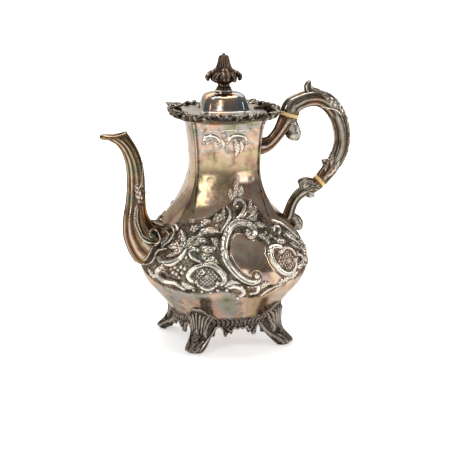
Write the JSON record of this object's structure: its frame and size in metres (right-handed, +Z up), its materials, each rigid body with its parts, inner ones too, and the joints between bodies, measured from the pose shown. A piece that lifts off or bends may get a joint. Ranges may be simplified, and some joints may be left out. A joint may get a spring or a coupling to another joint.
{
  "type": "silver teapot",
  "caption": "Tall silver pot for pouring, with a panelled pear-shaped body, swan-neck spout, hinged domed lid, insulated scroll handle and cast feet.",
  "frame": {"origin": "middle of the pot's footprint at the level that the feet stand on; the body's own axis is at x = -0.0041", "axes": "+X towards the handle, -X towards the spout, +Z up"},
  "size_m": [0.2464, 0.161, 0.28],
  "materials": {
    "sheet": "raised silver sheet, polished but toned peach and copper with blue-green tarnish",
    "lid": "polished silver sheet with a light warm tarnish",
    "cast": "cast and chased silver, oxidised grey-brown in the hollows and rubbed bright on the ridges",
    "spout": "fluted silver toned gold and olive, with blue lower down",
    "handle": "cast silver with a brown-copper patina",
    "tarnished": "cast silver with a heavy dark brown tarnish",
    "bright": "bright worn silver",
    "brass": "plain turned brass",
    "ivory": "aged ivory or bone, yellowed and polished"
  },
  "bodies": {
    "pot": {"body_shell": "sheet", "rim_border": "cast", "foot_1": "cast", "foot_2": "cast", "foot_3": "cast", "foot_4": "cast", "spout": "spout", "upper_socket": "cast", "upper_insulator": "ivory", "handle_grip": "handle", "lower_insulator": "ivory", "lower_socket": "cast", "upper_socket_pin": "bright", "upper_grip_pin": "bright", "lower_socket_pin": "bright", "lower_grip_pin": "bright", "hinge_body_leaf": "cast", "hinge_pin": "bright"},
    "lid": {"lid_dome": "lid", "lid_bezel": "lid", "finial": "tarnished", "finial_washer": "bright", "finial_nut": "brass", "hinge_lid_leaf": "cast"}
  },
  "joints": [
    {"name": "lid_hinge", "type": "hinge", "parent": "pot", "child": "lid", "pos_m": [0.0393, 0, 0.228], "axis": [0, 1, 0], "range_deg": [0, 85]}
  ]
}
